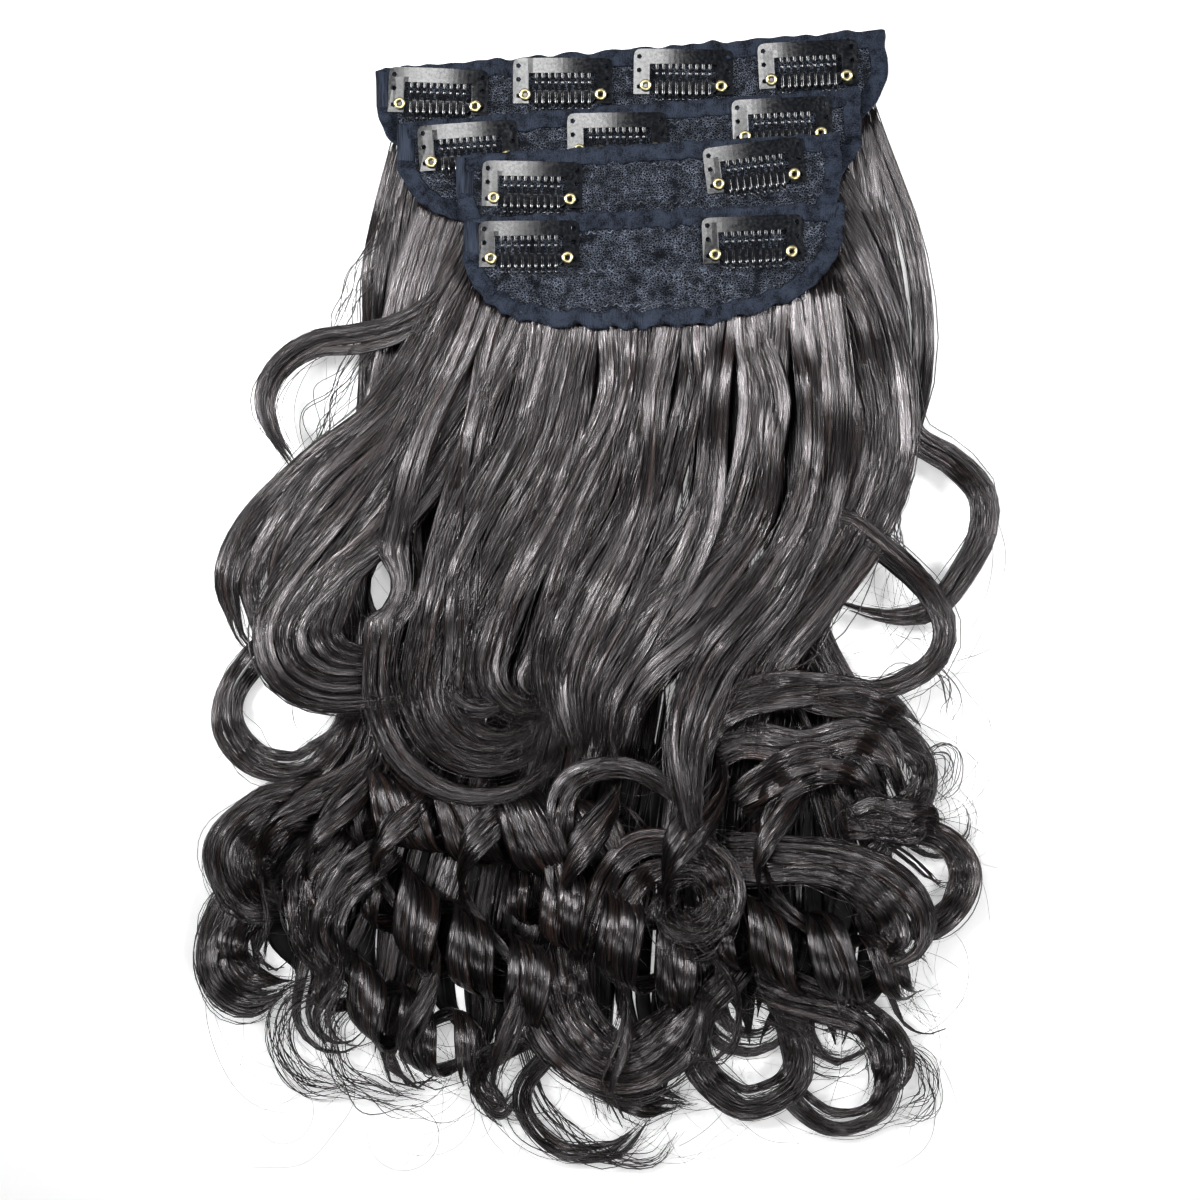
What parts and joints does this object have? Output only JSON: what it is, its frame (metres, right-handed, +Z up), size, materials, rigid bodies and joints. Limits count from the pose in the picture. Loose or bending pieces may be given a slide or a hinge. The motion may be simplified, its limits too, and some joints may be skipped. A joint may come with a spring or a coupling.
{
  "type": "layered clip-in hair extension",
  "caption": "Wavy dark brown hair on stacked bound lace wefts with black snap comb clips, to be clipped under the wearer's own hair.",
  "frame": {"origin": "under the middle of the whole part, on the surface that it lies on", "axes": "+X across the wefts, +Y from the curled ends towards the clips, +Z up from the surface"},
  "size_m": [0.3154, 0.4548, 0.0353],
  "materials": {
    "hair": "silky synthetic fibre",
    "lace": "black net lace",
    "binding": "black woven tape",
    "clip": "gloss black",
    "comb": "gloss black",
    "eyelet": "bright"
  },
  "bodies": {
    "root": {"weft_1_lace": "lace", "weft_1_binding": "binding", "clip_1_plate": "clip", "clip_1_eyelet_left": "eyelet", "clip_1_eyelet_right": "eyelet", "clip_2_plate": "clip", "clip_2_eyelet_left": "eyelet", "clip_2_eyelet_right": "eyelet", "clip_3_plate": "clip", "clip_3_eyelet_left": "eyelet", "clip_3_eyelet_right": "eyelet", "clip_4_plate": "clip", "clip_4_eyelet_left": "eyelet", "clip_4_eyelet_right": "eyelet", "weft_1_hair": "hair", "weft_2_lace": "lace", "weft_2_binding": "binding", "clip_5_plate": "clip", "clip_5_eyelet_left": "eyelet", "clip_5_eyelet_right": "eyelet", "clip_6_plate": "clip", "clip_6_eyelet_left": "eyelet", "clip_6_eyelet_right": "eyelet", "clip_7_plate": "clip", "clip_7_eyelet_left": "eyelet", "clip_7_eyelet_right": "eyelet", "weft_2_hair": "hair", "weft_3_lace": "lace", "weft_3_binding": "binding", "clip_8_plate": "clip", "clip_8_eyelet_left": "eyelet", "clip_8_eyelet_right": "eyelet", "clip_9_plate": "clip", "clip_9_eyelet_left": "eyelet", "clip_9_eyelet_right": "eyelet", "weft_3_hair": "hair", "weft_4_lace": "lace", "weft_4_binding": "binding", "clip_10_plate": "clip", "clip_10_eyelet_left": "eyelet", "clip_10_eyelet_right": "eyelet", "clip_11_plate": "clip", "clip_11_eyelet_left": "eyelet", "clip_11_eyelet_right": "eyelet", "weft_4_hair": "hair"},
    "clip_1_comb": {"clip_1_comb": "comb"},
    "clip_2_comb": {"clip_2_comb": "comb"},
    "clip_3_comb": {"clip_3_comb": "comb"},
    "clip_4_comb": {"clip_4_comb": "comb"},
    "clip_5_comb": {"clip_5_comb": "comb"},
    "clip_6_comb": {"clip_6_comb": "comb"},
    "clip_7_comb": {"clip_7_comb": "comb"},
    "clip_8_comb": {"clip_8_comb": "comb"},
    "clip_9_comb": {"clip_9_comb": "comb"},
    "clip_10_comb": {"clip_10_comb": "comb"},
    "clip_11_comb": {"clip_11_comb": "comb"}
  },
  "joints": [
    {"name": "clip_1_snap", "type": "hinge", "parent": "root", "child": "clip_1_comb", "pos_m": [-0.06635, 0.19624, 0.0092], "axis": [0.9992, -0.0401, 0], "range_deg": [0, 25]},
    {"name": "clip_2_snap", "type": "hinge", "parent": "root", "child": "clip_2_comb", "pos_m": [-0.01592, 0.20041, 0.0092], "axis": [1, 0, 0], "range_deg": [0, 25]},
    {"name": "clip_3_snap", "type": "hinge", "parent": "root", "child": "clip_3_comb", "pos_m": [0.03255, 0.20393, 0.0092], "axis": [0.9999, -0.014, 0], "range_deg": [0, 25]},
    {"name": "clip_4_snap", "type": "hinge", "parent": "root", "child": "clip_4_comb", "pos_m": [0.08305, 0.2072, 0.0092], "axis": [0.9986, 0.0523, 0], "range_deg": [0, 25]},
    {"name": "clip_5_snap", "type": "hinge", "parent": "root", "child": "clip_5_comb", "pos_m": [-0.05334, 0.17355, 0.0172], "axis": [0.9976, 0.0698, 0], "range_deg": [0, 25]},
    {"name": "clip_6_snap", "type": "hinge", "parent": "root", "child": "clip_6_comb", "pos_m": [0.00603, 0.17752, 0.0172], "axis": [0.9999, 0.014, 0], "range_deg": [0, 25]},
    {"name": "clip_7_snap", "type": "hinge", "parent": "root", "child": "clip_7_comb", "pos_m": [0.07228, 0.1834, 0.0172], "axis": [0.999, 0.0454, 0], "range_deg": [0, 25]},
    {"name": "clip_8_snap", "type": "hinge", "parent": "root", "child": "clip_8_comb", "pos_m": [-0.0281, 0.15717, 0.0252], "axis": [0.9997, -0.0227, 0], "range_deg": [0, 25]},
    {"name": "clip_9_snap", "type": "hinge", "parent": "root", "child": "clip_9_comb", "pos_m": [0.0614, 0.16484, 0.0252], "axis": [0.9919, 0.1271, 0], "range_deg": [0, 25]},
    {"name": "clip_10_snap", "type": "hinge", "parent": "root", "child": "clip_10_comb", "pos_m": [-0.02902, 0.13279, 0.0332], "axis": [1, 0.0087, 0], "range_deg": [0, 25]},
    {"name": "clip_11_snap", "type": "hinge", "parent": "root", "child": "clip_11_comb", "pos_m": [0.05988, 0.13471, 0.0332], "axis": [0.9991, 0.0419, 0], "range_deg": [0, 25]}
  ]
}
